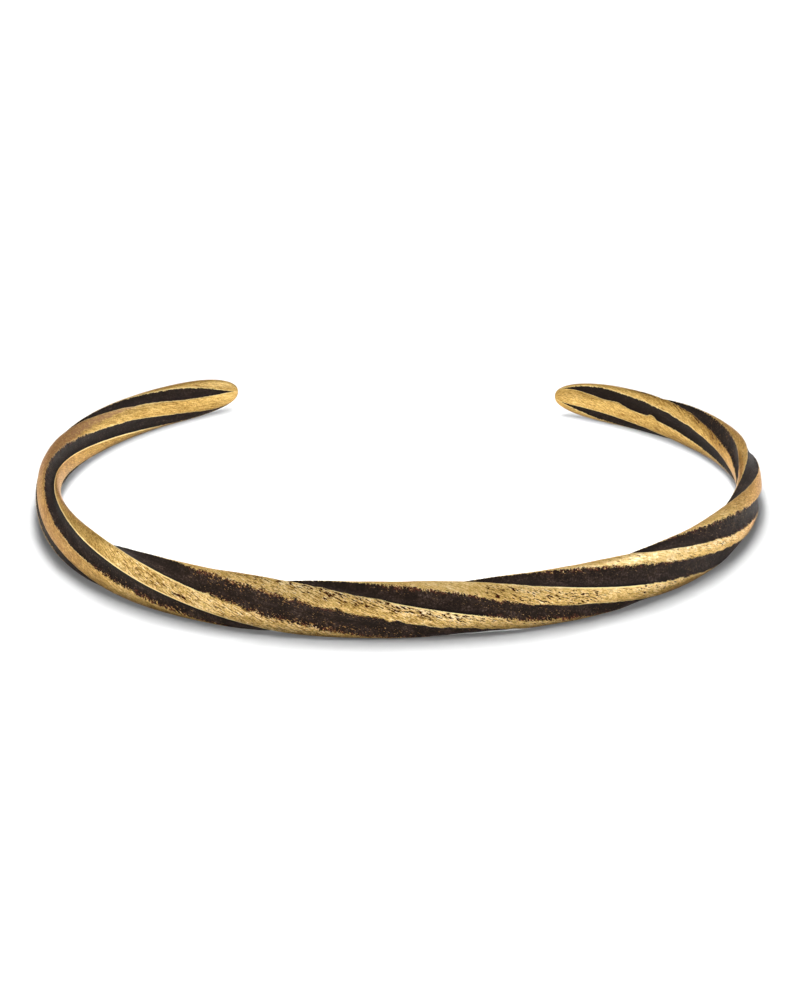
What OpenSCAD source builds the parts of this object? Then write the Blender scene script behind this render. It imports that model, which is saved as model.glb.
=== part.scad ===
// Torque bangle: one fluted bar of brass, twisted, tapered to two round tips and bent to an open oval.
// Millimetres, +Z up. It lies flat, with its front towards -Y and its mouth towards +Y.
// The origin is on the surface that it lies on, at the middle of the box that holds it.

/* [Oval] */
// Half width on the left, from the middle of the oval to the middle of the bar
left_w = 30.55; // [24:0.05:38]
// Half width on the right, from the middle of the oval to the middle of the bar
right_w = 31; // [24:0.5:38]
// Depth from the widest place to the middle of the bar at the front
front_d = 26.3; // [20:0.1:34]
// Depth from the widest place to where the left half would reach at the back
left_back = 24.8; // [18:0.1:32]
// Depth from the widest place to where the right half would reach at the back
right_back = 22.4; // [18:0.1:32]
// Fullness of the left half: 2 is a true ellipse, and more is squarer
left_full = 2.12; // [1.8:0.01:2.6]
// Fullness of the right half
right_full = 2.05; // [1.8:0.01:2.6]
// Angle round the oval from the back middle to the left tip
left_mouth = 25.5; // [12:0.5:50]
// Angle round the oval from the back middle to the right tip
right_mouth = 29.3; // [12:0.1:50]

/* [Bar] */
// Height of the bar at the front
bar_h = 5.2; // [3.5:0.1:9]
// Thickness of the bar at the front
bar_t = 2.7; // [1.8:0.1:5]
// Height that the bar tapers to at its tips
tip_h = 3.5; // [2:0.1:6]
// Thickness that the bar tapers to at its tips
tip_t = 1.6; // [1.2:0.1:4]
// Taper of the height: 1 is even, and more keeps the front tall for longer
taper_h = 1.75; // [1:0.05:3]
// Taper of the thickness
taper_t = 1.85; // [1:0.05:3]
// Length of the rounding at each tip
tip_round = 6.3; // [2:0.1:9]
// Bluntness of the rounding: 2 is half an ellipse, and more is blunter
tip_blunt = 2.4; // [1.8:0.1:4]

/* [Flutes] */
// Number of ridges round the bar
ridges = 4; // [3:1:6]
// Turns of twist from the left tip to the right tip
turns = 2.16; // [0.5:0.02:3]
// How much quicker the twist is at the front than on average, as a share
twist_ease = 0.06; // [0:0.01:0.4]
// Angle of the first ridge at the front, up from the outer face
first_ridge = 10.4; // [0:0.1:90]
// Angle by which pressing the bar to an oval pushed a ridge towards the nearer face
press_shift = 4; // [0:0.5:12]
// Share of its pitch that a ridge takes, the rest being groove
ridge_share = 0.48; // [0.3:0.01:0.7]
// Depth of a groove where it crosses the top of the bar at the front
groove_d = 0.6; // [0.1:0.05:1]
// Distance from the end of a tip to the point where its grooves begin
groove_end = 0.6; // [0.3:0.1:4]
// Length over which a groove opens to its full width
groove_run = 6.4; // [1:0.1:12]

/* [Hidden] */

brass = [0.78, 0.65, 0.39];

// Each ridge was cut by hand: a row for each, with its shift and its extra width, in shares of a pitch
SHIFT = 0;
EXTRA = 1;
RIDGE = [
    [0, 0],
    [-0.055, -0.015],
    [-0.09, 0.055],
    [-0.12, 0.03]
];
// Power of the curve by which a groove opens from its point, and the share of its width that it has there
groove_ease = 2.2;
groove_neck = 0.12;

// Facets across each ridge and each groove, rings in a tip's rounding, and rings along the bar
ridge_faces = 3;
groove_faces = 5;
tip_rings = 8;
bar_rings = 150;
// Samples along the oval for its arc length, and the small step in degrees that gives its direction
samples = 720;
nudge = 0.1;

function blend(a, b, t) = a + (b - a) * t;
function clamp(v) = max(0, min(1, v));

// The oval: angle a runs from -180 to 180, with 0 at the front, negative on the left
function fullness(a) = blend(left_full, right_full, (1 + sin(a)) / 2);
function reach(a) = let (n = fullness(a)) pow(pow(abs(sin(a)), n) + pow(abs(cos(a)), n), -1 / n);
function half_w(a) = sin(a) < 0 ? left_w : right_w;
function half_d(a) = cos(a) > 0 ? front_d : sin(a) < 0 ? left_back : right_back;
function oval(a) = reach(a) * [half_w(a) * sin(a), -half_d(a) * cos(a)];

left_end = left_mouth - 180;
right_end = 180 - right_mouth;
function sample_angle(i) = blend(left_end, right_end, i / samples);
steps = [for (i = [1:samples]) norm(oval(sample_angle(i)) - oval(sample_angle(i - 1)))];
lengths = [for (i = 0, s = 0; i <= samples; s = s + (i < samples ? steps[i] : 0), i = i + 1) s];
bar_l = lengths[samples];
angle_at = [for (i = [0:samples]) [lengths[i], sample_angle(i)]];

// Rings: distances along the bar, closer together in the rounding of each tip
tip_stops = [for (k = [1:tip_rings]) tip_round * (1 - cos(90 * k / tip_rings))];
mid_stops = [for (k = [1:bar_rings - 1]) blend(tip_round, bar_l - tip_round, k / bar_rings)];
back_stops = [for (k = [tip_rings:-1:1]) bar_l - tip_stops[k - 1]];
stops = concat(tip_stops, mid_stops, back_stops);

// How far a stop is along its half of the bar: -1 at the left tip, 0 at the front, 1 at the right tip
function along(s) = 2 * s / bar_l - 1;
function tip_gap(s) = min(s, bar_l - s);
function rounding(s) = pow(1 - pow(1 - clamp(tip_gap(s) / tip_round), tip_blunt), 1 / tip_blunt);
function half_high(s) = blend(bar_h, tip_h, pow(abs(along(s)), taper_h)) / 2;
function half_thick(s) = blend(bar_t, tip_t, pow(abs(along(s)), taper_t)) / 2;

// The twist in pitches, easing off towards the tips, and how far the grooves are open
function twist(s) = let (q = along(s)) -ridges * turns / 2 * ((1 + twist_ease) * q - twist_ease * pow(q, 3));
function open_share(s) = 1 - pow(1 - clamp((tip_gap(s) - groove_end) / groove_run), groove_ease);

// Around a section, in pitches: the middles of ridge i and of the groove after it
function row(i) = RIDGE[i % ridges % len(RIDGE)];
function ridge_mid(i) = i + row(i)[SHIFT];
function ridge_half(i) = (ridge_share + row(i)[EXTRA]) / 2;
function groove_mid(i) = (ridge_mid(i) + ridge_half(i) + ridge_mid(i + 1) - ridge_half(i + 1)) / 2;
function groove_half(i) = groove_mid(i) - ridge_mid(i) - ridge_half(i);

// A section's points, where its grooves are open by a share: [pitches round the bar, share of the depth]
function spread(i, open) = groove_half(i) * blend(groove_neck, 1, open);
function ridge_points(i, open) =
    let (before = i - 1 + ridges)
    let (low = groove_mid(before) - ridges + spread(before, open))
    let (high = groove_mid(i) - spread(i, open))
    [for (k = [0:ridge_faces - 1]) [blend(low, high, k / ridge_faces), 0]];
function groove_points(i, open) =
    [for (k = [0:groove_faces - 1])
        let (t = k / groove_faces)
        [groove_mid(i) + spread(i, open) * (2 * t - 1), sin(180 * t) * open]];
function section(open) =
    [for (i = [0:ridges - 1]) each concat(ridge_points(i, open), groove_points(i, open))];

// One ring of points: an oval section across the bar, which stands on the surface at its own height
function ring(s) =
    let (a = lookup(s, angle_at))
    let (ahead = oval(a + nudge) - oval(a - nudge))
    let (out = [ahead.y, -ahead.x] / norm(ahead))
    let (turn = twist(s) * 360 / ridges + first_ridge)
    [for (p = section(open_share(s)))
        let (round_angle = p[0] * 360 / ridges + turn)
        let (angle = round_angle - press_shift * sin(2 * round_angle))
        let (size = rounding(s) * (1 - p[1] * groove_d / (bar_h / 2)))
        let (side = half_thick(s) * cos(angle) * size)
        let (rise = half_high(s) * (1 + sin(angle) * size))
        [each oval(a) + out * side, rise]];
function tip_point(s) = [each oval(lookup(s, angle_at)), half_high(s)];

// The whole skin: a point at each tip, and the rings between them
around = ridges * (ridge_faces + groove_faces);
skin = concat([tip_point(0)], [for (s = stops) each ring(s)], [tip_point(bar_l)]);
last = len(skin) - 1;
function at(i, j) = 1 + i * around + j % around;
left_fan = [for (j = [0:around - 1]) [0, at(0, j + 1), at(0, j)]];
right_fan = [for (j = [0:around - 1]) [last, at(len(stops) - 1, j), at(len(stops) - 1, j + 1)]];
bands = [for (i = [0:len(stops) - 2], j = [0:around - 1])
    each [[at(i, j), at(i + 1, j + 1), at(i + 1, j)], [at(i, j), at(i, j + 1), at(i + 1, j + 1)]]];

// The corners of the box that holds it, to put the origin in the middle of its foot
low = [for (k = [0:2]) min([for (p = skin) p[k]])];
high = [for (k = [0:2]) max([for (p = skin) p[k]])];
foot = [(low.x + high.x) / 2, (low.y + high.y) / 2, low.z];

// The bar with its ridges and grooves, as one solid
module bangle() {
    color(brass)
        translate(-foot)
            polyhedron(skin, concat(left_fan, bands, right_fan), convexity = 6);
}

bangle();
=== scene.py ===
import math

import bmesh
import bpy
import numpy as np
from mathutils import Matrix, Vector, noise


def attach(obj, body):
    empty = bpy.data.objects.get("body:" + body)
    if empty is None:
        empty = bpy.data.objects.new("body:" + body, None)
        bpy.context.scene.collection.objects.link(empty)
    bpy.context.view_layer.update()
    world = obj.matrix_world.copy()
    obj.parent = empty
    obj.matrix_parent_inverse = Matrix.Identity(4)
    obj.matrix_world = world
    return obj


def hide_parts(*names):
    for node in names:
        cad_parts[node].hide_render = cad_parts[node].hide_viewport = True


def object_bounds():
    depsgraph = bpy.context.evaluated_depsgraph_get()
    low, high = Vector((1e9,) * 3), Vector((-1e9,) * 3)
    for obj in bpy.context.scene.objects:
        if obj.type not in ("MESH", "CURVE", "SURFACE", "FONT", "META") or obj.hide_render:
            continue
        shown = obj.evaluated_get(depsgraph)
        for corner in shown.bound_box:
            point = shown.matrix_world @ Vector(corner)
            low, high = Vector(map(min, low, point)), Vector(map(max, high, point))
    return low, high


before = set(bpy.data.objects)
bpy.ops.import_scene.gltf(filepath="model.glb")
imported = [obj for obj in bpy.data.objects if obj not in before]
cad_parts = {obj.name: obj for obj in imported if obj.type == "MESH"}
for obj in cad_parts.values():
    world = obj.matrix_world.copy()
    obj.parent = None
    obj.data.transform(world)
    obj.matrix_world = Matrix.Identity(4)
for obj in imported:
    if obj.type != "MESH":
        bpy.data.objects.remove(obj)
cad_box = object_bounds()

# A fluted, twisted cuff of antique brass. The bar's lengths are millimetres, as in the part's source, and
# MM turns them to metres at the last step. The studio's lengths are metres.
MM = 0.001
SEED = 7

# The oval that the bar is bent to, as in the part's source: its half widths, its depths from the widest
# place to the front and to where each half would reach at the back, how full each half is (2 is a true
# ellipse, and more is squarer), and the angles from the back's middle to the tips, in degrees
LEFT_W, RIGHT_W = 30.55, 31.0
FRONT_D, LEFT_BACK, RIGHT_BACK = 26.3, 24.8, 22.4
LEFT_FULL, RIGHT_FULL = 2.12, 2.05
LEFT_MOUTH, RIGHT_MOUTH = 25.5, 29.3
# Samples along the oval for its arc length, and the small angle that gives its direction
SAMPLES, NUDGE = 720, math.radians(0.1)

# The bar: its height and thickness at the front and at the tips, how they taper, and the tips' rounding
BAR_H, BAR_T = 5.2, 2.7
TIP_H, TIP_T = 3.5, 1.6
TAPER_H, TAPER_T = 1.75, 1.85
TIP_ROUND, TIP_BLUNT = 6.3, 2.4

# The flutes: ridges and the grooves between them, which turn round the bar as it goes along
RIDGES = 4
# Turns from tip to tip, and how much quicker they are at the front than on average, as a share
TURNS, TWIST_EASE = 2.16, 0.06
# The first ridge's angle at the front, up from the outer face, and the angle by which pressing the bar to
# an oval pushed a ridge towards the nearer face
FIRST_RIDGE, PRESS_SHIFT = math.radians(10.4), math.radians(4)
# A pitch is a ridge and the groove after it, and this is the ridge's share. Each ridge was cut by hand, so
# each has a row with its shift and its extra width, in pitches
RIDGE_SHARE = 0.48
RIDGE_ROWS = [(0, 0), (-0.055, -0.015), (-0.09, 0.055), (-0.12, 0.03)]
# A groove's depth, how far from a tip it begins, the length over which it opens, the power of the curve by
# which it opens, and the share of its width that it has at its beginning
GROOVE_D, GROOVE_END, GROOVE_RUN = 0.6, 0.6, 6.4
GROOVE_EASE, GROOVE_NECK = 2.2, 0.12

# The camera, matched to the photograph: angles in degrees, its distance in millimetres, the focal
# length in pixels, the pixel at which the oval's centre lands in a picture of 800 x 1000, the width of its
# sensor in millimetres, and the nearest and farthest that it sees, in metres
LOOK_DOWN, LOOK_ASIDE, LOOK_TILT = 24.341, 2.544, -0.437
LOOK_FROM = 644.95
FOCAL = 7339.6
CENTRE_AT = (396.21, 481.52)
PICTURE = (800, 1000)
SENSOR = 36.0
NEAREST, FARTHEST = 0.01, 50


def clamp(value):
    return np.clip(value, 0.0, 1.0)


def smooth(share):
    """Eases a share between 0 and 1, so that it starts and ends gently."""
    return share * share * (3 - 2 * share)


def blend(a, b, share):
    return a + (b - a) * share


def oval(angle):
    """The middle line of the bar, from above: angle 0 is the front, and negative is the left."""
    sine, cosine = np.sin(angle), np.cos(angle)
    full = blend(LEFT_FULL, RIGHT_FULL, (1 + sine) / 2)
    reach = (np.abs(sine) ** full + np.abs(cosine) ** full) ** (-1 / full)
    wide = np.where(sine < 0, LEFT_W, RIGHT_W)
    deep = np.where(cosine > 0, FRONT_D, np.where(sine < 0, LEFT_BACK, RIGHT_BACK))
    return np.stack([reach * wide * sine, -reach * deep * cosine], axis=-1)


SAMPLE_ANGLES = np.radians(np.linspace(LEFT_MOUTH - 180, 180 - RIGHT_MOUTH, SAMPLES + 1))
SAMPLE_STEPS = np.linalg.norm(np.diff(oval(SAMPLE_ANGLES), axis=0), axis=1)
SAMPLE_LENGTHS = np.concatenate([[0], np.cumsum(SAMPLE_STEPS)])
BAR_L = SAMPLE_LENGTHS[-1]


# In the functions below, far is how far a place is along the bar from its left tip, in millimetres


def along(far):
    """-1 at the left tip, 0 at the front and 1 at the right tip."""
    return 2 * far / BAR_L - 1


def tip_gap(far):
    return np.minimum(far, BAR_L - far)


def half_high(far):
    return blend(BAR_H, TIP_H, np.abs(along(far)) ** TAPER_H) / 2


def half_thick(far):
    return blend(BAR_T, TIP_T, np.abs(along(far)) ** TAPER_T) / 2


def rounding(far):
    return (1 - (1 - clamp(tip_gap(far) / TIP_ROUND)) ** TIP_BLUNT) ** (1 / TIP_BLUNT)


def twist(far):
    """How many pitches the flutes have turned since the front."""
    here = along(far)
    return -RIDGES * TURNS / 2 * ((1 + TWIST_EASE) * here - TWIST_EASE * here ** 3)


def groove_open(far):
    return 1 - (1 - clamp((tip_gap(far) - GROOVE_END) / GROOVE_RUN)) ** GROOVE_EASE


# Wear, and painted shade and highlight

# Each table says where one kind of wear, painted shade or painted highlight is, in millimetres from the left
# tip. Its ease is the length over which a row fades in and out, and what is even is there everywhere.
LOW, HIGH = 0, 1
# How far polishing moved an edge of a ridge. A row says: the ridge, which edge, where it starts and
# ends, how far the brass reaches into the groove (or, negative, the patina over the ridge)
EDGE_SHIFT = [
    (3, LOW, 28, 52, -0.12),
    (2, HIGH, 8, 15, -0.14),
    (2, HIGH, 15.5, 20, 0.08),
    (3, HIGH, 60, 76, -0.16),
    (0, LOW, 78, 87, -0.3),
    (0, HIGH, 70, 82, 0.1),
    (0, HIGH, 82, 90, -0.22),
    (1, LOW, 72, 83, -0.2),
    (1, LOW, 83, 91, 0.14),
    (2, LOW, 84, 124, -0.3),
    (2, HIGH, 95, 126, -0.34),
    (2, LOW, 136.5, 138.2, 0.34),
    (2, LOW, 139.8, 142.8, 0.3),
    (1, LOW, 124, 134, -0.16),
]
SHIFT_EASE = 3
# How ragged an edge is, in millimetres each way: the same columns, and the last is the raggedness
EDGE_RAGGED = [
    (2, HIGH, 16, 44, 0.16),
    (2, HIGH, 44, 62, 0.26),
    (3, LOW, 28, 52, 0.08),
    (3, HIGH, 54, 86, 0.3),
    (0, LOW, 54, 78, 0.3),
    (0, LOW, 74, 92, 0.14),
    (0, HIGH, 79, 98, 0.22),
    (1, LOW, 70, 92, 0.2),
    (1, HIGH, 96, 106, 0.11),
    (2, LOW, 84, 118, 0.2),
    (2, HIGH, 102, 118, 0.16),
    (3, LOW, 98, 116, 0.2),
    (0, HIGH, 122, 134, 0.16),
    (1, LOW, 120, 142, 0.2),
]
EVEN_RAGGED, RAGGED_EASE = 0.07, 4
# How far every edge wanders in slow and in quick waves, and how long those are. In the third row are the
# share of its raggedness that is cut into the shape, and the length of those waves
SLOW_WANDER, SLOW_WAVE = 0.05, 6
QUICK_WANDER, QUICK_WAVE = 0.03, 1.6
RAGGED_WANDER, RAGGED_WAVE = 0.5, 0.7
# Where the brass is pitted: the ridge, where it starts and ends, the share across it that is pitted
# (from its low edge to its high edge), and how thickly. Its fade is the one across the ridge
PITTED = [
    (2, 36, 60, 0.1, 0.9, 0.35),
    (3, 48, 72, 0.1, 0.8, 0.65),
    (0, 56, 84, 0.45, 1.0, 1.05),
    (0, 76, 92, 0.7, 1.0, 1.0),
    (0, 60, 96, 0.0, 0.6, 0.5),
    (1, 80, 94, 0.05, 0.85, 1.0),
    (1, 93, 102, 0.4, 1.0, 0.9),
    (2, 97, 103, 0.7, 1.0, 0.8),
    (2, 104, 108, 0.2, 0.8, 0.95),
    (0, 116, 124, 0.2, 0.9, 0.6),
    (1, 124, 142, 0.05, 0.5, 0.85),
]
EVEN_PITTED, PITTED_EASE, PITTED_FADE = 0.12, 3, 0.12
# A crack along a line of the mesh: the ridge, where it starts and ends, and which line across the ridge
CRACKED = [
    (3, 55.0, 56.9, 4),
    (1, 131.2, 133.0, 2),
    (1, 133.6, 135.6, 2),
    (1, 136.2, 137.3, 2),
    (1, 138.3, 139.7, 3),
]
CRACK_PITTED, CRACK_EASE = 1.1, 0.5
# Where a ridge is tarnished a pinkish brown: the ridge, where it starts and ends along its low edge, how
# much further on it starts at its high edge, over what length it begins, and how much. It ends over its ease
TARNISHED = [
    (2, 10.5, 36, 11, 0.35, 0.95),
    (2, 30, 50, 0, 8, 0.55),
    (3, 22, 44, 0, 6, 0.1),
    (3, 106, 124, 0, 6, 0.4),
    (0, 120, 136, 0, 6, 0.4),
]
EVEN_TARNISH, TARNISH_EASE = 0.08, 8
# Where the patina is painted darker along both arms, as painted shade: where it starts and ends, and how much
PAINTED_ARM_SHADE = [(-10, 44, 0.4), (120, 190, 0.6)]
PAINTED_ARM_SHADE_EASE = 10
# Where the brass's tone is made deeper as painted shade (or, negative, paler as a painted highlight): the
# ridge, where it starts and ends, the share across it from its low edge to its high edge, and how much. Its
# fade is the one across the ridge
PAINTED_SHADE_AND_HIGHLIGHT = [
    (0, 58, 92, -0.1, 0.62, 0.45),
    (0, 62, 98, 0.6, 1.1, -0.25),
    (1, 78, 104, -0.1, 0.55, 0.25),
    (3, 56, 78, 0.0, 0.8, 0.5),
    (2, 10, 22, 0.4, 1.1, -0.4),
    (1, 74, 106, 0.5, 1.1, -0.15),
    (2, 98, 124, 0.4, 1.1, -0.9),
    (0, 112, 124, 0.4, 1.1, 0.5),
    (1, 122, 140, -0.1, 0.5, 0.6),
]
# All the ridges are painted a deeper gold along the two arms, as painted shade, and a paler one across the
# front, as a painted highlight
for start, end, much in ((0, 50, 0.75), (56, 112, -0.55), (122, 172, 0.7)):
    PAINTED_SHADE_AND_HIGHLIGHT += [(ridge, start, end, -0.2, 1.2, much) for ridge in range(RIDGES)]
PAINTED_SHADE_AND_HIGHLIGHT_EASE, PAINTED_SHADE_AND_HIGHLIGHT_FADE = 5, 0.2
# Where the file's strokes show: the ridge, where it starts and ends, and how much
STROKED = [
    (3, 44, 74, 1.0),
    (0, 54, 86, 0.9),
    (1, 78, 104, 0.55),
    (2, 88, 118, 0.45),
    (2, 30, 60, 0.4),
]
EVEN_STROKED, STROKED_EASE = 0.22, 8
# Where an arris, the sharp edge of a ridge, gets a painted highlight, a bright line: the ridge, which edge,
# where it starts and ends, and how much
PAINTED_ARRIS_HIGHLIGHTS = [
    (3, LOW, 7, 75, 1.0),
    (3, HIGH, 38, 60, 0.9),
    (0, HIGH, 72, 83, 1.0),
    (1, HIGH, 86, 98, 1.0),
]
EVEN_PAINTED_ARRIS_HIGHLIGHT, PAINTED_ARRIS_HIGHLIGHT_EASE = 0.35, 2
# The share of its waviness and raggedness that an arris with a painted highlight loses
TRUED, TRUED_EASE = 0.8, 3
# What keeps two random waves apart, and what brings a wave to about -1 to 1
WAVE_STEP, WAVE_GAIN = 7.3, 1.6


def stretch(far, start, end, ease):
    """1 between two places along the bar, easing off to 0 at both."""
    soft = min(ease, (end - start) / 2)
    return smooth(clamp((far - start) / soft)) * smooth(clamp((end - far) / soft))


def between(across, low, high, fade):
    """1 between two shares of the way across a ridge, fading to 0 outside them."""
    return clamp((across - low) / fade + 0.5) * clamp((high - across) / fade + 0.5)


def wander(far, key, length):
    """A smooth random wave along the bar, from about -1 to 1, its waves about a length apart."""
    waves = [noise.noise(Vector((stop / length, key * WAVE_STEP, SEED))) for stop in far]
    return np.array(waves) * WAVE_GAIN


def edge_moves(far):
    """For each ridge and edge: how far it is moved outwards, and how ragged it is, at each ring."""
    moves = np.zeros((RIDGES, 2, len(far)))
    ragged = np.full((RIDGES, 2, len(far)), EVEN_RAGGED)
    for ridge, edge, start, end, much in EDGE_SHIFT:
        moves[ridge, edge] += much * stretch(far, start, end, SHIFT_EASE)
    for ridge, edge, start, end, much in EDGE_RAGGED:
        here = much * stretch(far, start, end, RAGGED_EASE)
        ragged[ridge, edge] = np.maximum(ragged[ridge, edge], here)
    for ridge in range(RIDGES):
        for edge in (LOW, HIGH):
            # Each wave has a key of its own
            key = 10 * ridge + edge
            torn = RAGGED_WANDER * ragged[ridge, edge]
            moves[ridge, edge] += SLOW_WANDER * wander(far, key, SLOW_WAVE)
            moves[ridge, edge] += QUICK_WANDER * wander(far, key + 5, QUICK_WAVE)
            moves[ridge, edge] += torn * wander(far, key + 3, RAGGED_WAVE)
    # The arrises with a painted highlight are also made straighter and less ragged
    for ridge, edge, start, end, much in PAINTED_ARRIS_HIGHLIGHTS:
        left = 1 - TRUED * much * stretch(far, start, end, TRUED_EASE)
        moves[ridge, edge] *= left
        ragged[ridge, edge] *= left
    return moves, ragged


# The bar's mesh

# Rings along the bar, and lines across each ridge and each groove, closer together at their edges
TIP_RINGS, MID_RINGS = 26, 946
RIDGE_LINES = [0, .03, .09, .2, .35, .5, .65, .8, .91, .97]
GROOVE_LINES = [0, .025, .07, .13, .2, .29, .39, .5, .61, .71, .8, .87, .93, .975]
PITCH_LINES = len(RIDGE_LINES) + len(GROOVE_LINES)
# Stands for the share across a ridge on a groove's line, and the other way round
NOWHERE = -1.0
# The radius of a round bar of much the same girth, and a pitch round it, as an angle and in millimetres
MEAN_RADIUS = 2.04
PITCH_TURN = 2 * math.pi / RIDGES
PITCH_MM = MEAN_RADIUS * PITCH_TURN
# A groove's section: 2 is a round hollow, and more has steeper sides
GROOVE_SIDES = 2.7
# The underside is rubbed flatter: the share of a groove's depth left there, and the angles below the
# middle of either face between which it is lost
UNDER_SHARE, UNDER_FROM, UNDER_TO = 0.3, math.radians(38), math.radians(62)
# How much an arris is rounded off, and over what width
ARRIS_DROP, ARRIS_WIDTH = 0.05, 0.07
# Unevenness left by the file, in broad waves and in fine dimples: how deep, how long and how wide
BROAD_DEEP, BROAD_LONG, BROAD_WIDE = 0.035, 3.2, 1.1
FINE_DEEP, FINE_LONG, FINE_WIDE = 0.011, 0.7, 0.42
# How much the file's strokes turn round the bar, in radians a millimetre
FILING_SLANT = 0.13
# Points closer than this are one, in metres
MERGED = 1e-7


def ring_stops():
    """How far along the bar each ring is: closer together in the rounding of the tips."""
    tip = TIP_ROUND * (1 - np.cos(np.linspace(0, math.pi / 2, TIP_RINGS + 1)))
    mid = np.linspace(TIP_ROUND, BAR_L - TIP_ROUND, MID_RINGS + 1)[1:-1]
    return np.concatenate([tip, mid, (BAR_L - tip)[::-1]])


def groove_edges(opened, moves):
    """Both edges of each groove and of its patina, in pitches round the bar, at each ring. A groove
    lies after the ridge of its number. At a tip it keeps a narrow neck, and its patina ends in a point."""
    middle = [ridge + shift for ridge, (shift, extra) in enumerate(RIDGE_ROWS)]
    half = [(RIDGE_SHARE + extra) / 2 for shift, extra in RIDGE_ROWS]
    grooves, patinas = [], []
    for ridge in range(RIDGES):
        after = (ridge + 1) % RIDGES
        low = middle[ridge] + half[ridge]
        high = middle[after] - half[after] + (RIDGES if after == 0 else 0)
        mid, wide = (low + high) / 2, (high - low) / 2
        low_move = moves[ridge, HIGH] / PITCH_MM * opened
        high_move = moves[after, LOW] / PITCH_MM * opened
        for edges, share in ((grooves, blend(GROOVE_NECK, 1, opened)), (patinas, opened)):
            edges.append((mid - wide * share + low_move, mid + wide * share - high_move))
    return grooves, patinas


def section_lines(opened, moves, ragged):
    """The lines that run along the bar, from the first ridge's low edge all the way round to it again.
    Gives, for each ring and line, its place in pitches, its depth, how far it is from the patina's edge
    (negative on the patina) and how ragged that edge is. Then, for each line, which ridge it is on or
    after, and the share of the way across its ridge and across its groove."""
    grooves, patinas = groove_edges(opened, moves)
    lines = []
    for ridge in range(RIDGES):
        before, after = (ridge - 1) % RIDGES, (ridge + 1) % RIDGES
        back = RIDGES if ridge == 0 else 0
        patina_before = patinas[before][HIGH] - back
        low, high = grooves[before][HIGH] - back, grooves[ridge][LOW]
        for share in RIDGE_LINES:
            at = blend(low, high, share)
            bare = np.minimum(at - patina_before, patinas[ridge][LOW] - at) * PITCH_MM
            near = min(share, 1 - share) * (high - low) * PITCH_MM
            depth = ARRIS_DROP * np.exp(-near / ARRIS_WIDTH) * opened
            rough = blend(ragged[ridge, LOW], ragged[ridge, HIGH], share)
            lines.append((at, depth, bare, rough, ridge, share, NOWHERE))
        low, high = grooves[ridge]
        for share in GROOVE_LINES:
            at = blend(low, high, share)
            dark = np.minimum(at - patinas[ridge][LOW], patinas[ridge][HIGH] - at) * PITCH_MM
            depth = (ARRIS_DROP + GROOVE_D * (1 - abs(2 * share - 1) ** GROOVE_SIDES)) * opened
            rough = blend(ragged[ridge, HIGH], ragged[after, LOW], share)
            lines.append((at, depth, -dark, rough, ridge, NOWHERE, share))
    # The last line meets the first, a whole turn on
    first_place, *first_rest = lines[0]
    lines.append((first_place + RIDGES, *first_rest))
    place, depth, edge, rough, which, across, groove_across = zip(*lines)
    grids = [np.stack(values, axis=1) for values in (place, depth, edge, rough)]
    return *grids, np.array(which), np.array(across), np.array(groove_across)


def straightened(far, place, slant):
    """The bar laid straight and untwisted, for patterns that run along the ridges or at a slant to them."""
    far = np.broadcast_to(far[:, None], place.shape)
    turn = place * PITCH_TURN + slant * far
    return np.stack([far, MEAN_RADIUS * np.cos(turn), MEAN_RADIUS * np.sin(turn)], axis=2)


def unevenness(laid):
    """How far casting and hand filing left each point of the bar under its true surface."""
    waves = np.zeros(laid.shape[:2])
    for i, j in np.ndindex(waves.shape):
        x, y, z = laid[i, j]
        broad = noise.noise(Vector((x / BROAD_LONG, y / BROAD_WIDE, z / BROAD_WIDE + SEED)))
        fine = noise.noise(Vector((x / FINE_LONG, y / FINE_WIDE, z / FINE_WIDE - SEED)))
        waves[i, j] = BROAD_DEEP * broad + FINE_DEEP * fine
    return np.maximum(waves + BROAD_DEEP / 2, 0)


def bent(far, place, depth, uneven):
    """Where each point is: on an oval section across the bar, which stands on the floor at its own height."""
    angle_at = np.interp(far, SAMPLE_LENGTHS, SAMPLE_ANGLES)
    ahead = oval(angle_at + NUDGE) - oval(angle_at - NUDGE)
    out = np.stack([ahead[:, 1], -ahead[:, 0]], axis=1)
    out /= np.linalg.norm(out, axis=1, keepdims=True)
    turned = place * PITCH_TURN + (twist(far) * PITCH_TURN + FIRST_RIDGE)[:, None]
    angle = turned - PRESS_SHIFT * np.sin(2 * turned)
    below = np.arcsin(-np.sin(angle).clip(-1, 0))
    rubbed = smooth(clamp((below - UNDER_FROM) / (UNDER_TO - UNDER_FROM)))
    sunk = depth * blend(1, UNDER_SHARE, rubbed) + uneven
    size = rounding(far)[:, None] * (1 - sunk / (BAR_H / 2))
    side = half_thick(far)[:, None] * np.cos(angle) * size
    rise = half_high(far)[:, None] * (1 + np.sin(angle) * size)
    flat = oval(angle_at)[:, None] + out[:, None] * side[..., None]
    return np.concatenate([flat, rise[..., None]], axis=2)


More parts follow.
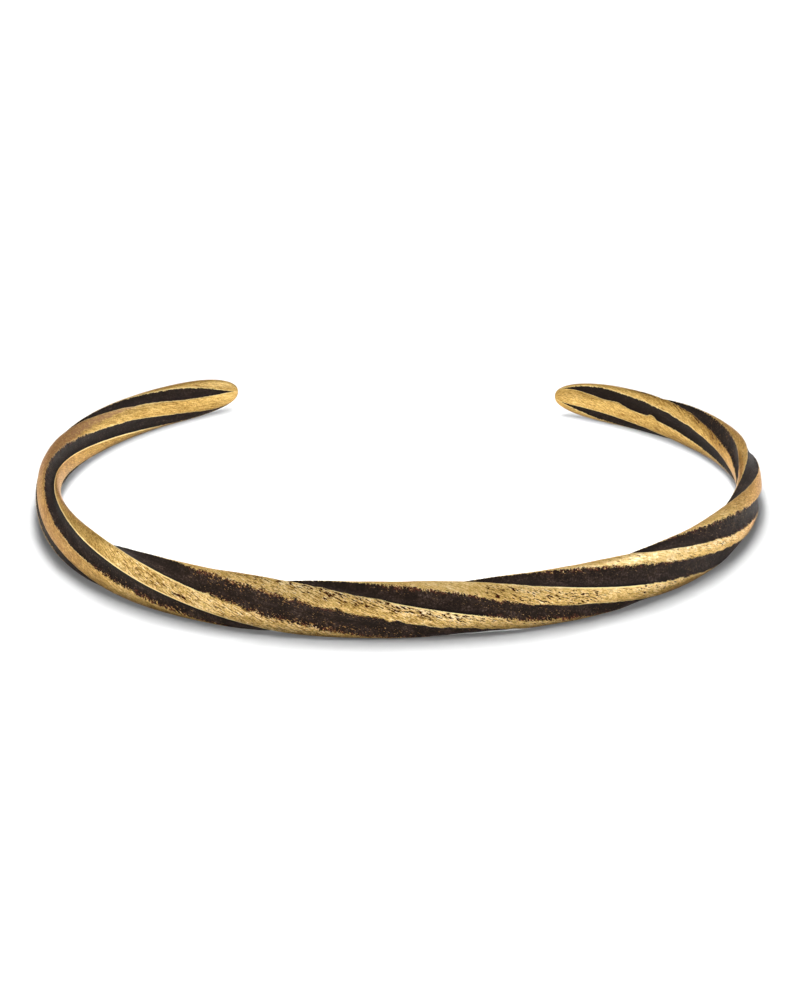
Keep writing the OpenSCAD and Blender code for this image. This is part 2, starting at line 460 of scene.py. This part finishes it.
def wear_and_painted_light_maps(far, which, across, groove_across):
    """How much of each kind of wear, painted shade and painted highlight there is, for each ring and line."""
    far = far[:, None]
    everywhere = np.ones((len(far), len(which)))
    pitted = EVEN_PITTED * everywhere
    for ridge, start, end, low, high, much in PITTED:
        zone = between(across, low, high, PITTED_FADE) * stretch(far, start, end, PITTED_EASE)
        pitted = np.maximum(pitted, much * zone * (which == ridge))
    for ridge, start, end, line in CRACKED:
        crack = ridge * PITCH_LINES + line
        pitted[:, crack:crack + 1] += CRACK_PITTED * stretch(far, start, end, CRACK_EASE)
    stroked = EVEN_STROKED * everywhere
    for ridge, start, end, much in STROKED:
        stroked = np.maximum(stroked, much * stretch(far, start, end, STROKED_EASE) * (which == ridge))
    tarnish = EVEN_TARNISH * everywhere
    for ridge, start, end, slant, ease, much in TARNISHED:
        begun = clamp((far - start - slant * across) / ease)
        left = clamp((end - far) / TARNISH_EASE)
        tarnish = np.maximum(tarnish, much * begun * left * (which == ridge))
    # deep is the painted shade (positive) and the painted highlight (negative) in the brass's tone
    deep = 0 * everywhere
    for ridge, start, end, low, high, much in PAINTED_SHADE_AND_HIGHLIGHT:
        zone = between(across, low, high, PAINTED_SHADE_AND_HIGHLIGHT_FADE) * stretch(far, start, end, PAINTED_SHADE_AND_HIGHLIGHT_EASE)
        deep += much * zone * (which == ridge)
    # Painted shade: the patina is made darker along both arms
    painted_shade_on_arms = 0 * everywhere
    for start, end, much in PAINTED_ARM_SHADE:
        painted_shade_on_arms += much * stretch(far, start, end, PAINTED_ARM_SHADE_EASE)
    # This map holds the painted highlight along an arris and the painted shade in the groove's corner beside
    # it
    painted_arris_light_and_shade = EVEN_PAINTED_ARRIS_HIGHLIGHT * everywhere
    for ridge, edge, start, end, much in PAINTED_ARRIS_HIGHLIGHTS:
        # The half of the ridge and the half of the groove that lie beside the arris
        if edge == LOW:
            ridge_half = (which == ridge) & (across >= 0) & (across < 0.5)
            groove_half = (which == (ridge - 1) % RIDGES) & (groove_across > 0.5)
        else:
            ridge_half = (which == ridge) & (across > 0.5)
            groove_half = (which == ridge) & (groove_across >= 0) & (groove_across < 0.5)
        beside = ridge_half | groove_half
        painted_arris_light_and_shade = np.maximum(painted_arris_light_and_shade, much * beside * stretch(far, start, end, PAINTED_ARRIS_HIGHLIGHT_EASE))
    return {
        "pitted": pitted, "stroked": stroked, "tarnish": tarnish,
        "deep": deep, "painted_shade_on_arms": painted_shade_on_arms, "painted_arris_light_and_shade": painted_arris_light_and_shade,
    }


def bar_surface():
    """Points of the bar on a grid of rings and lines, with what its finish needs at each of them."""
    far = ring_stops()
    moves, ragged = edge_moves(far)
    place, depth, edge, rough, *on_lines = section_lines(groove_open(far), moves, ragged)
    laid = straightened(far, place, 0)
    looks = {"edge": edge, "ragged": rough, **wear_and_painted_light_maps(far, *on_lines)}
    looks["laid"] = laid
    looks["filed"] = straightened(far, place, FILING_SLANT)
    return bent(far, place, depth, unevenness(laid)), looks


def make_bar():
    """The bar as one closed piece, and the middle of its foot, which becomes the origin."""
    points, looks = bar_surface()
    rings, lines = points.shape[:2]
    low, high = points.min(axis=(0, 1)), points.max(axis=(0, 1))
    foot = Vector(((low[0] + high[0]) / 2, (low[1] + high[1]) / 2, 0))
    shape = bmesh.new()
    shape.loops.layers.uv.new("bar")
    # A sheet of quads, a row for each ring, which is then rolled round the bar's middle line
    bmesh.ops.create_grid(shape, x_segments=lines - 1, y_segments=rings - 1, size=0.5, calc_uvs=True)
    mesh = bpy.data.meshes.new("bangle_bar")
    shape.to_mesh(mesh)
    shape.free()
    flat = np.zeros(len(mesh.vertices) * 3)
    mesh.vertices.foreach_get("co", flat)
    flat = flat.reshape(-1, 3) + 0.5
    line = np.rint(flat[:, 0] * (lines - 1)).astype(int)
    ring = np.rint(flat[:, 1] * (rings - 1)).astype(int)
    rolled = (points[ring, line] - np.array(foot)) * MM
    rolled = np.clip(rolled, cad_box[0], cad_box[1])
    mesh.vertices.foreach_set("co", rolled.ravel())
    for name, values in looks.items():
        picked = values[ring, line]
        kind, field = ("FLOAT_VECTOR", "vector") if picked.ndim == 2 else ("FLOAT", "value")
        mesh.attributes.new(name, kind, "POINT").data.foreach_set(field, picked.ravel())
    # The sheet's two long sides meet, and each of its ends is drawn together to a tip
    shape = bmesh.new()
    shape.from_mesh(mesh)
    bmesh.ops.remove_doubles(shape, verts=shape.verts, dist=MERGED)
    bmesh.ops.recalc_face_normals(shape, faces=shape.faces)
    shape.to_mesh(mesh)
    shape.free()
    for face in mesh.polygons:
        face.use_smooth = True
    bar = bpy.data.objects.new("bangle_bar", mesh)
    bpy.context.collection.objects.link(bar)
    return bar, foot


# Finishes

# Tones from the darkest grain to the palest: filed brass, and brass under liver of sulphur
BRASS_TONES = [(0.1, "#523514"), (0.32, "#926e35"), (0.46, "#c19e57"), (0.55, "#d8b268"),
               (0.68, "#f4d492"), (0.86, "#fff0c6")]
PATINA_TONES = [(0.2, "#080403"), (0.4, "#17100c"), (0.5, "#261c17"), (0.6, "#3b2f29"), (0.8, "#6e5e54")]
STROKE_COLOUR, PIT_COLOUR = "#6e4a22", "#3e1d10"
# The tarnish's own colour, and the pale gold that paints a highlight along the arrises
TARNISH_COLOUR, PAINTED_HIGHLIGHT_COLOUR = "#9c7450", "#ffe7a2"
FLECK_COLOUR, FRINGE_COLOUR = "#b8743f", "#8c4a34"
# The near black that paints shade on the patina, along the arms and in the groove's corner beside an arris
PAINTED_SHADE_COLOUR = "#0a0604"
GLANCE_COLOUR = "#ffe4cf"

# Patterns of marks. A row says: whether they run along the ridges (laid) or with the file (filed), how many
# there are in a millimetre along the bar and in both directions across it, where the pattern starts, and
# its detail and roughness
PATTERNS = {
    # Bites in the end of the polish, 0.12 mm wide and 0.2 mm long
    "teeth": ("laid", (5.2, 8.0, 8.0), (0, 0, 0), 5.0, 0.75),
    # Pits and short cracks, 0.4 mm long and 0.12 mm wide
    "pits": ("filed", (2.3, 8.0, 8.0), (3, 1, 2), 2.0, 0.55),
    # Flecks of brass that stand through the patina, 0.25 mm long and 0.08 mm wide
    "flecks": ("filed", (4.2, 12.0, 12.0), (7, 4, 1), 3.0, 0.6),
    # The slow drift of the brass's colour, over 3 mm along the bar and 1.2 mm across it
    "drift": ("laid", (0.3, 0.8, 0.8), (0, 0, 0), 2.0, 0.5),
    # Mottling, 0.3 mm long and 0.2 mm wide
    "mottle": ("laid", (3.2, 4.6, 4.6), (2, 0, 5), 4.0, 0.75),
    # Streaks rubbed along the file's strokes, 0.8 mm long and 0.11 mm wide
    "streaks": ("filed", (1.3, 9.0, 9.0), (6, 2, 9), 3.0, 0.65),
    # Fine grit, 0.12 mm across
    "grit": ("laid", (8.0, 8.0, 8.0), (0, 0, 0), 1.0, 0.5),
    # The file's strokes, 0.4 mm long and 0.08 mm wide, drawn twice as coarse as a smooth file's, to show
    "strokes": ("filed", (2.4, 12.0, 12.0), (5, 5, 0), 1.5, 0.5),
    # Clouds in the patina, a millimetre across
    "cloud": ("laid", (0.7, 1.3, 1.3), (1, 8, 3), 3.0, 0.5),
    # The patina's dry grain, 0.18 mm across
    "grain": ("laid", (5.5, 5.5, 5.5), (0, 0, 0), 3.0, 0.75),
    # Patches of copper red, 0.6 mm long and 0.2 mm wide
    "red": ("filed", (1.7, 5.0, 5.0), (9, 2, 6), 3.0, 0.6),
}

# Relief in millimetres: how far the brass stands over the patina, how high its streaks and mottling are,
# how deep its strokes and pits are, and how high the patina's crust is. The last is the share of it shown
PROUD, STREAK_HIGH, MOTTLE_HIGH = 0.02, 0.012, 0.008
STROKE_DEEP, PIT_DEEP, CRUST_HIGH = 0.008, 0.02, 0.03
RELIEF_SHOWN = 0.9
# Roughness of the brass where it is dull and where it is bright, what tarnish adds to it, and the patina's
DULL_ROUGH, BRIGHT_ROUGH, TARNISH_ROUGH, PATINA_ROUGH = 0.36, 0.26, 0.14, 0.58


def linear(code):
    """An sRGB hex colour as the linear colour that a shader takes."""
    parts = [int(code[i:i + 2], 16) / 255 for i in (1, 3, 5)]
    light = [part / 12.92 if part <= 0.04045 else ((part + 0.055) / 1.055) ** 2.4 for part in parts]
    return (*light, 1.0)


def put(tree, kind, links=None, tones=(), **settings):
    """Adds a node with its settings, and gives its sockets their values or links. A node that is given
    for a socket stands for its first working output. Tones are a colour ramp's places and colours."""
    node = tree.nodes.new(kind)
    for name, value in settings.items():
        setattr(node, name, value)
    for socket, value in (links or {}).items():
        if isinstance(value, bpy.types.Node):
            value = next(output for output in value.outputs if output.enabled)
        if isinstance(value, bpy.types.NodeSocket):
            tree.links.new(value, node.inputs[socket])
        else:
            node.inputs[socket].default_value = value
    for i, (place, code) in enumerate(tones):
        stops = node.color_ramp.elements
        stop = stops[i] if i < len(stops) else stops.new(place)
        stop.position = place
        stop.color = linear(code)
    return node


def lay_patterns(tree):
    """The noise of each pattern, on the bar's own attributes for its places in millimetres."""
    ways = {way: put(tree, "ShaderNodeAttribute", attribute_name=way).outputs["Vector"]
            for way in ("laid", "filed")}
    patterns = {}
    for name, (way, in_a_mm, start, detail, roughness) in PATTERNS.items():
        at = put(tree, "ShaderNodeMapping", {"Vector": ways[way], "Location": start, "Scale": in_a_mm})
        patterns[name] = put(tree, "ShaderNodeTexNoise", {
            "Vector": at, "Scale": 1.0, "Detail": detail, "Roughness": roughness})
    return patterns


def where_bare(tree, wear_and_painted_light, patterns):
    """Where the polish bared the brass. Gives how far a place is inside the end of the polish in
    millimetres, how torn that end is, the brass of the ridges, and the same brass with the flecks."""
    teeth = put(tree, "ShaderNodeMath", {0: patterns["teeth"], 1: 0.5}, operation="SUBTRACT")
    bite = put(tree, "ShaderNodeMath", {0: wear_and_painted_light["ragged"], 1: 5.0}, operation="MULTIPLY")
    inside = put(tree, "ShaderNodeMath", {0: teeth, 1: bite, 2: wear_and_painted_light["edge"]}, operation="MULTIPLY_ADD")
    bare = put(tree, "ShaderNodeMapRange", {"Value": inside, "From Min": -0.02, "From Max": 0.02},
               interpolation_type="SMOOTHSTEP")
    torn = put(tree, "ShaderNodeMapRange", {"Value": wear_and_painted_light["ragged"], "From Min": 0.08, "From Max": 0.24})
    # Flecks are thicker towards a ragged edge, and end about 0.9 mm from it
    thick = put(tree, "ShaderNodeMapRange", {"Value": wear_and_painted_light["ragged"], "From Min": 0.15, "From Max": 0.34,
                                             "To Min": 0.0, "To Max": 0.05})
    near = put(tree, "ShaderNodeMapRange", {"Value": wear_and_painted_light["edge"], "From Min": -0.9, "From Max": -0.05})
    flecks = put(tree, "ShaderNodeMath", {0: near, 1: thick, 2: patterns["flecks"]},
                 operation="MULTIPLY_ADD")
    flecks = put(tree, "ShaderNodeMapRange", {"Value": flecks, "From Min": 0.64, "From Max": 0.7},
                 interpolation_type="SMOOTHSTEP")
    within = put(tree, "ShaderNodeMapRange", {"Value": wear_and_painted_light["edge"], "From Min": -1.0, "From Max": -0.8})
    within = put(tree, "ShaderNodeMath", {0: within, 1: torn}, operation="MULTIPLY")
    flecks = put(tree, "ShaderNodeMath", {0: flecks, 1: within}, operation="MULTIPLY")
    metal = put(tree, "ShaderNodeMath", {0: bare, 1: flecks}, operation="MAXIMUM", use_clamp=True)
    return inside, torn, bare, metal


def brass_tone(tree, wear_and_painted_light, patterns):
    """The brass's colour. Its mottling, streaks, grit and drift are added to one tone, which is made deeper
    or paler where shade and highlight are painted, picks the colour from dark ochre to pale gold, and shows
    more contrast where the file's strokes do."""
    uneven = put(tree, "ShaderNodeMath", {0: patterns["streaks"], 1: 1.6, 2: patterns["mottle"]},
                 operation="MULTIPLY_ADD")
    uneven = put(tree, "ShaderNodeMath", {0: patterns["grit"], 1: 0.7, 2: uneven}, operation="MULTIPLY_ADD")
    uneven = put(tree, "ShaderNodeMath", {0: uneven, 1: 1.65}, operation="SUBTRACT")
    lively = put(tree, "ShaderNodeMapRange", {"Value": wear_and_painted_light["stroked"], "To Min": 0.36, "To Max": 0.66})
    broad = put(tree, "ShaderNodeMapRange", {"Value": patterns["drift"], "From Min": 0.3, "From Max": 0.7,
                                             "To Min": 0.44, "To Max": 0.56})
    broad = put(tree, "ShaderNodeMath", {0: wear_and_painted_light["stroked"], 1: 0.06, 2: broad}, operation="MULTIPLY_ADD")
    # Painted shade and highlight: the tone is made deeper or paler where deep says
    broad = put(tree, "ShaderNodeMath", {0: wear_and_painted_light["deep"], 1: -0.11, 2: broad}, operation="MULTIPLY_ADD")
    tone = put(tree, "ShaderNodeMath", {0: uneven, 1: lively, 2: broad}, operation="MULTIPLY_ADD")
    return put(tree, "ShaderNodeValToRGB", {"Fac": tone}, tones=BRASS_TONES)


def filed_brass(tree, wear_and_painted_light, patterns, torn, bare):
    """The bare brass: its colour, its roughness and its relief in millimetres."""
    mottle = patterns["mottle"]
    brass = brass_tone(tree, wear_and_painted_light, patterns)
    # The file's strokes are darker
    limit = put(tree, "ShaderNodeMapRange", {"Value": wear_and_painted_light["stroked"], "To Min": 0.34, "To Max": 0.44})
    stroke = put(tree, "ShaderNodeMath", {0: limit, 1: patterns["strokes"]}, operation="SUBTRACT")
    stroke = put(tree, "ShaderNodeMapRange", {"Value": stroke, "From Max": 0.06, "To Max": 0.9})
    brass = put(tree, "ShaderNodeMix", {0: stroke, 6: brass, 7: linear(STROKE_COLOUR)}, data_type="RGBA")
    # Tarnish: pinkish brown, thin where the mottling is pale
    dull = put(tree, "ShaderNodeMapRange", {"Value": mottle, "From Min": 0.62, "From Max": 0.4,
                                            "To Min": 0.4, "To Max": 1.2})
    dull = put(tree, "ShaderNodeMath", {0: dull, 1: wear_and_painted_light["tarnish"]}, operation="MULTIPLY", use_clamp=True)
    brass = put(tree, "ShaderNodeMix", {0: dull, 6: brass, 7: linear(TARNISH_COLOUR)}, data_type="RGBA")
    # A painted highlight along an arris, a bright line 0.1 mm wide, which a torn edge doesn't have
    line = put(tree, "ShaderNodeMapRange", {"Value": wear_and_painted_light["edge"], "From Min": 0.14, "From Max": 0.06})
    line = put(tree, "ShaderNodeMath", {0: line, 1: wear_and_painted_light["painted_arris_light_and_shade"]}, operation="MULTIPLY")
    firm = put(tree, "ShaderNodeMath", {0: 1.0, 1: torn}, operation="SUBTRACT")
    line = put(tree, "ShaderNodeMath", {0: line, 1: firm}, operation="MULTIPLY")
    brass = put(tree, "ShaderNodeMix", {0: line, 6: brass, 7: linear(PAINTED_HIGHLIGHT_COLOUR)}, data_type="RGBA")
    # The flecks that stand alone are redder than the ridges
    alone = put(tree, "ShaderNodeMath", {0: 0.45, 1: bare}, operation="SUBTRACT", use_clamp=True)
    brass = put(tree, "ShaderNodeMix", {0: alone, 6: brass, 7: linear(FLECK_COLOUR)}, data_type="RGBA")
    # Pits are dark with old oxide
    limit = put(tree, "ShaderNodeMapRange", {"Value": wear_and_painted_light["pitted"], "To Min": 0.25, "To Max": 0.44},
                clamp=False)
    pit = put(tree, "ShaderNodeMath", {0: limit, 1: patterns["pits"]}, operation="SUBTRACT")
    pit = put(tree, "ShaderNodeMapRange", {"Value": pit, "From Max": 0.018}, interpolation_type="SMOOTHSTEP")
    brass = put(tree, "ShaderNodeMix", {0: pit, 6: brass, 7: linear(PIT_COLOUR)}, data_type="RGBA")

    rough = put(tree, "ShaderNodeMapRange", {"Value": mottle, "From Min": 0.35, "From Max": 0.65,
                                             "To Min": DULL_ROUGH, "To Max": BRIGHT_ROUGH})
    rough = put(tree, "ShaderNodeMath", {0: dull, 1: TARNISH_ROUGH, 2: rough}, operation="MULTIPLY_ADD")
    lift = put(tree, "ShaderNodeMath", {0: patterns["streaks"], 1: STREAK_HIGH, 2: PROUD},
               operation="MULTIPLY_ADD")
    lift = put(tree, "ShaderNodeMath", {0: stroke, 1: -STROKE_DEEP, 2: lift}, operation="MULTIPLY_ADD")
    lift = put(tree, "ShaderNodeMath", {0: pit, 1: -PIT_DEEP, 2: lift}, operation="MULTIPLY_ADD")
    lift = put(tree, "ShaderNodeMath", {0: mottle, 1: MOTTLE_HIGH, 2: lift}, operation="MULTIPLY_ADD")
    return brass, rough, lift


def black_patina(tree, wear_and_painted_light, patterns, inside, torn):
    """The patina: its colour, and the relief of its crust in millimetres."""
    tone = put(tree, "ShaderNodeMath", {0: patterns["cloud"], 1: 0.5}, operation="MULTIPLY")
    tone = put(tree, "ShaderNodeMath", {0: patterns["grain"], 1: 0.9, 2: tone}, operation="MULTIPLY_ADD")
    tone = put(tree, "ShaderNodeMath", {0: tone, 1: 0.25}, operation="SUBTRACT")
    patina = put(tree, "ShaderNodeValToRGB", {"Fac": tone}, tones=PATINA_TONES)
    # It is painted darker along the arms, as painted shade, and painted black, as shade, in the corner beside
    # an arris with a painted highlight
    # Painted shade: a black line in the groove's corner beside an arris with a painted highlight
    corner = put(tree, "ShaderNodeMapRange", {"Value": wear_and_painted_light["edge"], "From Min": -0.3, "From Max": -0.08})
    corner = put(tree, "ShaderNodeMath", {0: corner, 1: wear_and_painted_light["painted_arris_light_and_shade"]}, operation="MULTIPLY")
    for thick in (wear_and_painted_light["painted_shade_on_arms"], corner):
        patina = put(tree, "ShaderNodeMix", {0: thick, 6: patina, 7: linear(PAINTED_SHADE_COLOUR)},
                     data_type="RGBA")
    # A copper-red fringe where it thins out at a ragged edge
    red = put(tree, "ShaderNodeMapRange", {"Value": patterns["red"], "From Min": 0.48, "From Max": 0.62,
                                           "To Max": 0.6})
    near = put(tree, "ShaderNodeMapRange", {"Value": inside, "From Min": -0.2, "From Max": -0.03})
    near = put(tree, "ShaderNodeMath", {0: near, 1: torn}, operation="MULTIPLY")
    fringe = put(tree, "ShaderNodeMath", {0: red, 1: near}, operation="MULTIPLY")
    patina = put(tree, "ShaderNodeMix", {0: fringe, 6: patina, 7: linear(FRINGE_COLOUR)}, data_type="RGBA")
    crust = put(tree, "ShaderNodeMath", {0: patterns["grain"], 1: CRUST_HIGH}, operation="MULTIPLY")
    return patina, crust


def antique_brass():
    """Cast brass, blackened with liver of sulphur, then filed and polished bare on its ridges. The eye gets
    warm metal with slanted file strokes, dark pits and paler rubbed streaks, a copper-red fringe where the
    polish fades out in teeth, and nearly black, dry hollows with a faint sparkle. Painted into the colour are
    a highlight along some arrises with shade in the groove beside them, a deeper tone along the arms and a
    paler one across the front, and darker patina along the arms."""
    material = bpy.data.materials.new("filed antique brass with black patina and painted light")
    material.use_nodes = True
    tree = material.node_tree
    tree.nodes.clear()
    # What wore each place, and where shade and highlight are painted, from the bar's own attributes
    wear_and_painted_light = {kind: put(tree, "ShaderNodeAttribute", attribute_name=kind).outputs["Fac"] for kind in (
        "edge", "ragged", "pitted", "stroked", "tarnish", "deep", "painted_shade_on_arms", "painted_arris_light_and_shade")}
    patterns = lay_patterns(tree)
    inside, torn, bare, metal = where_bare(tree, wear_and_painted_light, patterns)
    brass, brass_rough, lift = filed_brass(tree, wear_and_painted_light, patterns, torn, bare)
    patina, crust = black_patina(tree, wear_and_painted_light, patterns, inside, torn)
    colour = put(tree, "ShaderNodeMix", {0: metal, 6: patina, 7: brass}, data_type="RGBA")
    rough = put(tree, "ShaderNodeMix", {0: metal, 2: PATINA_ROUGH, 3: brass_rough}, data_type="FLOAT")
    relief = put(tree, "ShaderNodeMix", {0: metal, 2: crust, 3: lift}, data_type="FLOAT")
    bump = put(tree, "ShaderNodeBump", {"Height": relief, "Distance": MM, "Strength": RELIEF_SHOWN})
    skin = put(tree, "ShaderNodeBsdfPrincipled", {
        "Base Color": colour, "Metallic": metal, "Roughness": rough, "Normal": bump,
        "Specular IOR Level": 0.18, "Specular Tint": linear(GLANCE_COLOUR)})
    put(tree, "ShaderNodeOutputMaterial", {"Surface": skin})
    return material


def white_paper():
    """Matt white paper: a plain pale ground with next to no shine."""
    material = bpy.data.materials.new("matt white paper")
    material.use_nodes = True
    skin = material.node_tree.nodes["Principled BSDF"]
    skin.inputs["Base Color"].default_value = linear("#f2f2f2")
    skin.inputs["Roughness"].default_value = 0.9
    skin.inputs["Specular IOR Level"].default_value = 0.1
    return material


# The studio: places are metres to the right, back and up from the middle of the bangle's foot

FLOOR_HALF = 3.0
# The lamps overhead, which together are a long soft box with dimmer edges: how far to the right and back,
# radius and strength
GLOBES = [(0, back, 0.031, 3.3) for back in (-0.118, -0.035, 0.018, 0.05, 0.083, 0.125)]
GLOBES += [(aside, back, 0.04, 4.0) for aside in (-0.036, 0.036) for back in (-0.085, 0.028, 0.108)]
GLOBE_HIGH = 0.25
# Low lamps for the floor alone, one inside the oval and one at either side of its front, which lighten its
# darkest shadows: name, place, radius, strength, cone in degrees and aim
FLOOR_LAMPS = [("inner", (0, 0, 0.015), 0.004, 26.0, 132, (0, 0, 0))]
FLOOR_LAMPS += [("corner", (aside, -0.045, 0.03), 0.006, 5.0, 70, (aside / 2, -0.012, 0))
                for aside in (-0.06, 0.06)]
# Panels: name, place, width and height, brightness and colour. The first is for the floor alone too, the
# second lights the floor and the patina, and the others are for the brass to mirror
FLOOR_PANEL = ("floor_front", (0.0, -0.9, 0.12), (2.4, 0.24), 2.4, "#ffffff")
FRONT_PANEL = ("low_front", (0.0, -0.9, 0.12), (1.2, 0.24), 6.2, "#ffffff")
SIDE_PANELS = [
    ("left", (-0.8, -0.1, 0.45), (0.7, 0.8), 0.75, "#ffffff"),
    ("right", (0.75, -0.1, 0.5), (0.8, 0.8), 1.65, "#cfdbff"),
]
ROOM_BRIGHTNESS = 0.78
# A spot's soft rim, as a share, and the smallest cosine by which a lamp's light is evened out on the floor
CONE_RIM, LEAST_DOWN = 0.2, 0.3


def make_floor():
    shape = bmesh.new()
    bmesh.ops.create_grid(shape, x_segments=2, y_segments=2, size=FLOOR_HALF)
    mesh = bpy.data.meshes.new("floor")
    shape.to_mesh(mesh)
    shape.free()
    mesh.materials.append(white_paper())
    floor = bpy.data.objects.new("floor", mesh)
    bpy.context.collection.objects.link(floor)
    return floor


def hang(lamp, place, aim):
    """Hangs a lamp at its place, turned to its aim and out of the camera's sight."""
    light = bpy.data.objects.new(lamp.name, lamp)
    light.location = place
    light.rotation_mode = "QUATERNION"
    light.rotation_quaternion = (Vector(aim) - Vector(place)).to_track_quat("-Z", "Y")
    light.visible_camera = False
    bpy.context.collection.objects.link(light)
    return light


def make_panel(name, place, size, brightness, colour):
    """A flat soft light that faces the bangle; its brightness is that of its face."""
    lamp = bpy.data.lights.new(name, "AREA")
    lamp.shape = "RECTANGLE"
    lamp.size, lamp.size_y = size
    lamp.energy = math.pi * size[0] * size[1] * brightness
    lamp.color = linear(colour)[:3]
    return hang(lamp, place, (0, 0, 0))


def make_globe(name, place, radius, strength, cone=None, aim=None):
    """A small round lamp over the oval, which throws the shadows outwards. Its light doesn't fade with
    distance and is stronger to the sides, so that the whole floor gets the same. One with a cone, whose
    angle is given in degrees, lights only the patch of the floor that it is aimed at."""
    lamp = bpy.data.lights.new(name, "SPOT" if cone else "POINT")
    if cone:
        lamp.spot_size, lamp.spot_blend = math.radians(cone), CONE_RIM
    lamp.shadow_soft_size = radius
    lamp.energy = 1.0
    lamp.use_nodes = True
    tree = lamp.node_tree
    tree.nodes.clear()
    way = put(tree, "ShaderNodeTexCoord")
    down = put(tree, "ShaderNodeSeparateXYZ", {"Vector": way.outputs["Normal"]}).outputs["Z"]
    down = put(tree, "ShaderNodeMath", {0: down}, operation="ABSOLUTE")
    down = put(tree, "ShaderNodeMath", {0: down, 1: LEAST_DOWN}, operation="MAXIMUM")
    even = put(tree, "ShaderNodeMath", {0: strength, 1: down}, operation="DIVIDE")
    steady = put(tree, "ShaderNodeLightFalloff", {"Strength": even}).outputs["Constant"]
    glow = put(tree, "ShaderNodeEmission", {"Strength": steady})
    put(tree, "ShaderNodeOutputLight", {"Surface": glow})
    return hang(lamp, place, aim or (place[0], place[1], 0))


def make_camera(foot):
    """The photograph's own view, aimed a little off the oval's centre so that it lands where it should."""
    down = math.radians(LOOK_DOWN)
    tilt = math.radians(LOOK_TILT)
    turn = Matrix.Rotation(math.radians(-LOOK_ASIDE), 3, "Z")
    centre = Vector((-foot.x, -foot.y, BAR_H / 2))
    back = turn @ Vector((0, -math.cos(down), math.sin(down)))
    level = turn @ Vector((1, 0, 0))
    upright = back.cross(level)
    right = level * math.cos(tilt) + upright * math.sin(tilt)
    up = upright * math.cos(tilt) - level * math.sin(tilt)
    eye = centre + back * LOOK_FROM
    pixels_in_a_mm = FOCAL / LOOK_FROM
    aim = (centre + right * (PICTURE[0] / 2 - CENTRE_AT[0]) / pixels_in_a_mm
           - up * (PICTURE[1] / 2 - CENTRE_AT[1]) / pixels_in_a_mm)
    back = (eye - aim).normalized()
    right = up.cross(back).normalized()
    up = back.cross(right)
    camera = bpy.data.cameras.new("camera")
    camera.sensor_width = SENSOR
    camera.lens = FOCAL / max(PICTURE) * SENSOR
    camera.clip_start, camera.clip_end = NEAREST, FARTHEST
    holder = bpy.data.objects.new("camera", camera)
    bpy.context.collection.objects.link(holder)
    axes = Matrix((right, up, back)).transposed().to_4x4()
    holder.matrix_world = Matrix.Translation(eye * MM) @ axes
    bpy.context.scene.camera = holder


def make_studio():
    """The floor and its light, which isn't seen in the brass, and the light that the brass mirrors, which
    doesn't reach the floor."""
    floor = make_floor()
    for aside, back, radius, strength in GLOBES:
        make_globe("globe", (aside, back, GLOBE_HIGH), radius, strength).visible_glossy = False
    only_floor = bpy.data.collections.new("only the floor")
    only_floor.objects.link(floor)
    for light in [*(make_globe(*lamp) for lamp in FLOOR_LAMPS), make_panel(*FLOOR_PANEL)]:
        light.visible_glossy = False
        light.light_linking.receiver_collection = only_floor
    make_panel(*FRONT_PANEL).visible_glossy = False
    for panel in SIDE_PANELS:
        make_panel(*panel).visible_diffuse = False
    world = bpy.data.worlds.new("soft room")
    world.use_nodes = True
    world.node_tree.nodes["Background"].inputs["Color"].default_value = linear("#ffffff")
    world.node_tree.nodes["Background"].inputs["Strength"].default_value = ROOM_BRIGHTNESS
    world.cycles_visibility.diffuse = False
    bpy.context.scene.world = world
    bpy.context.scene.view_settings.view_transform = "Standard"
    bpy.context.scene.cycles.caustics_reflective = False


bar, foot = make_bar()
bar.data.materials.append(antique_brass())
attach(bar, "root")
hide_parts("bangle")
make_camera(foot)
make_studio()
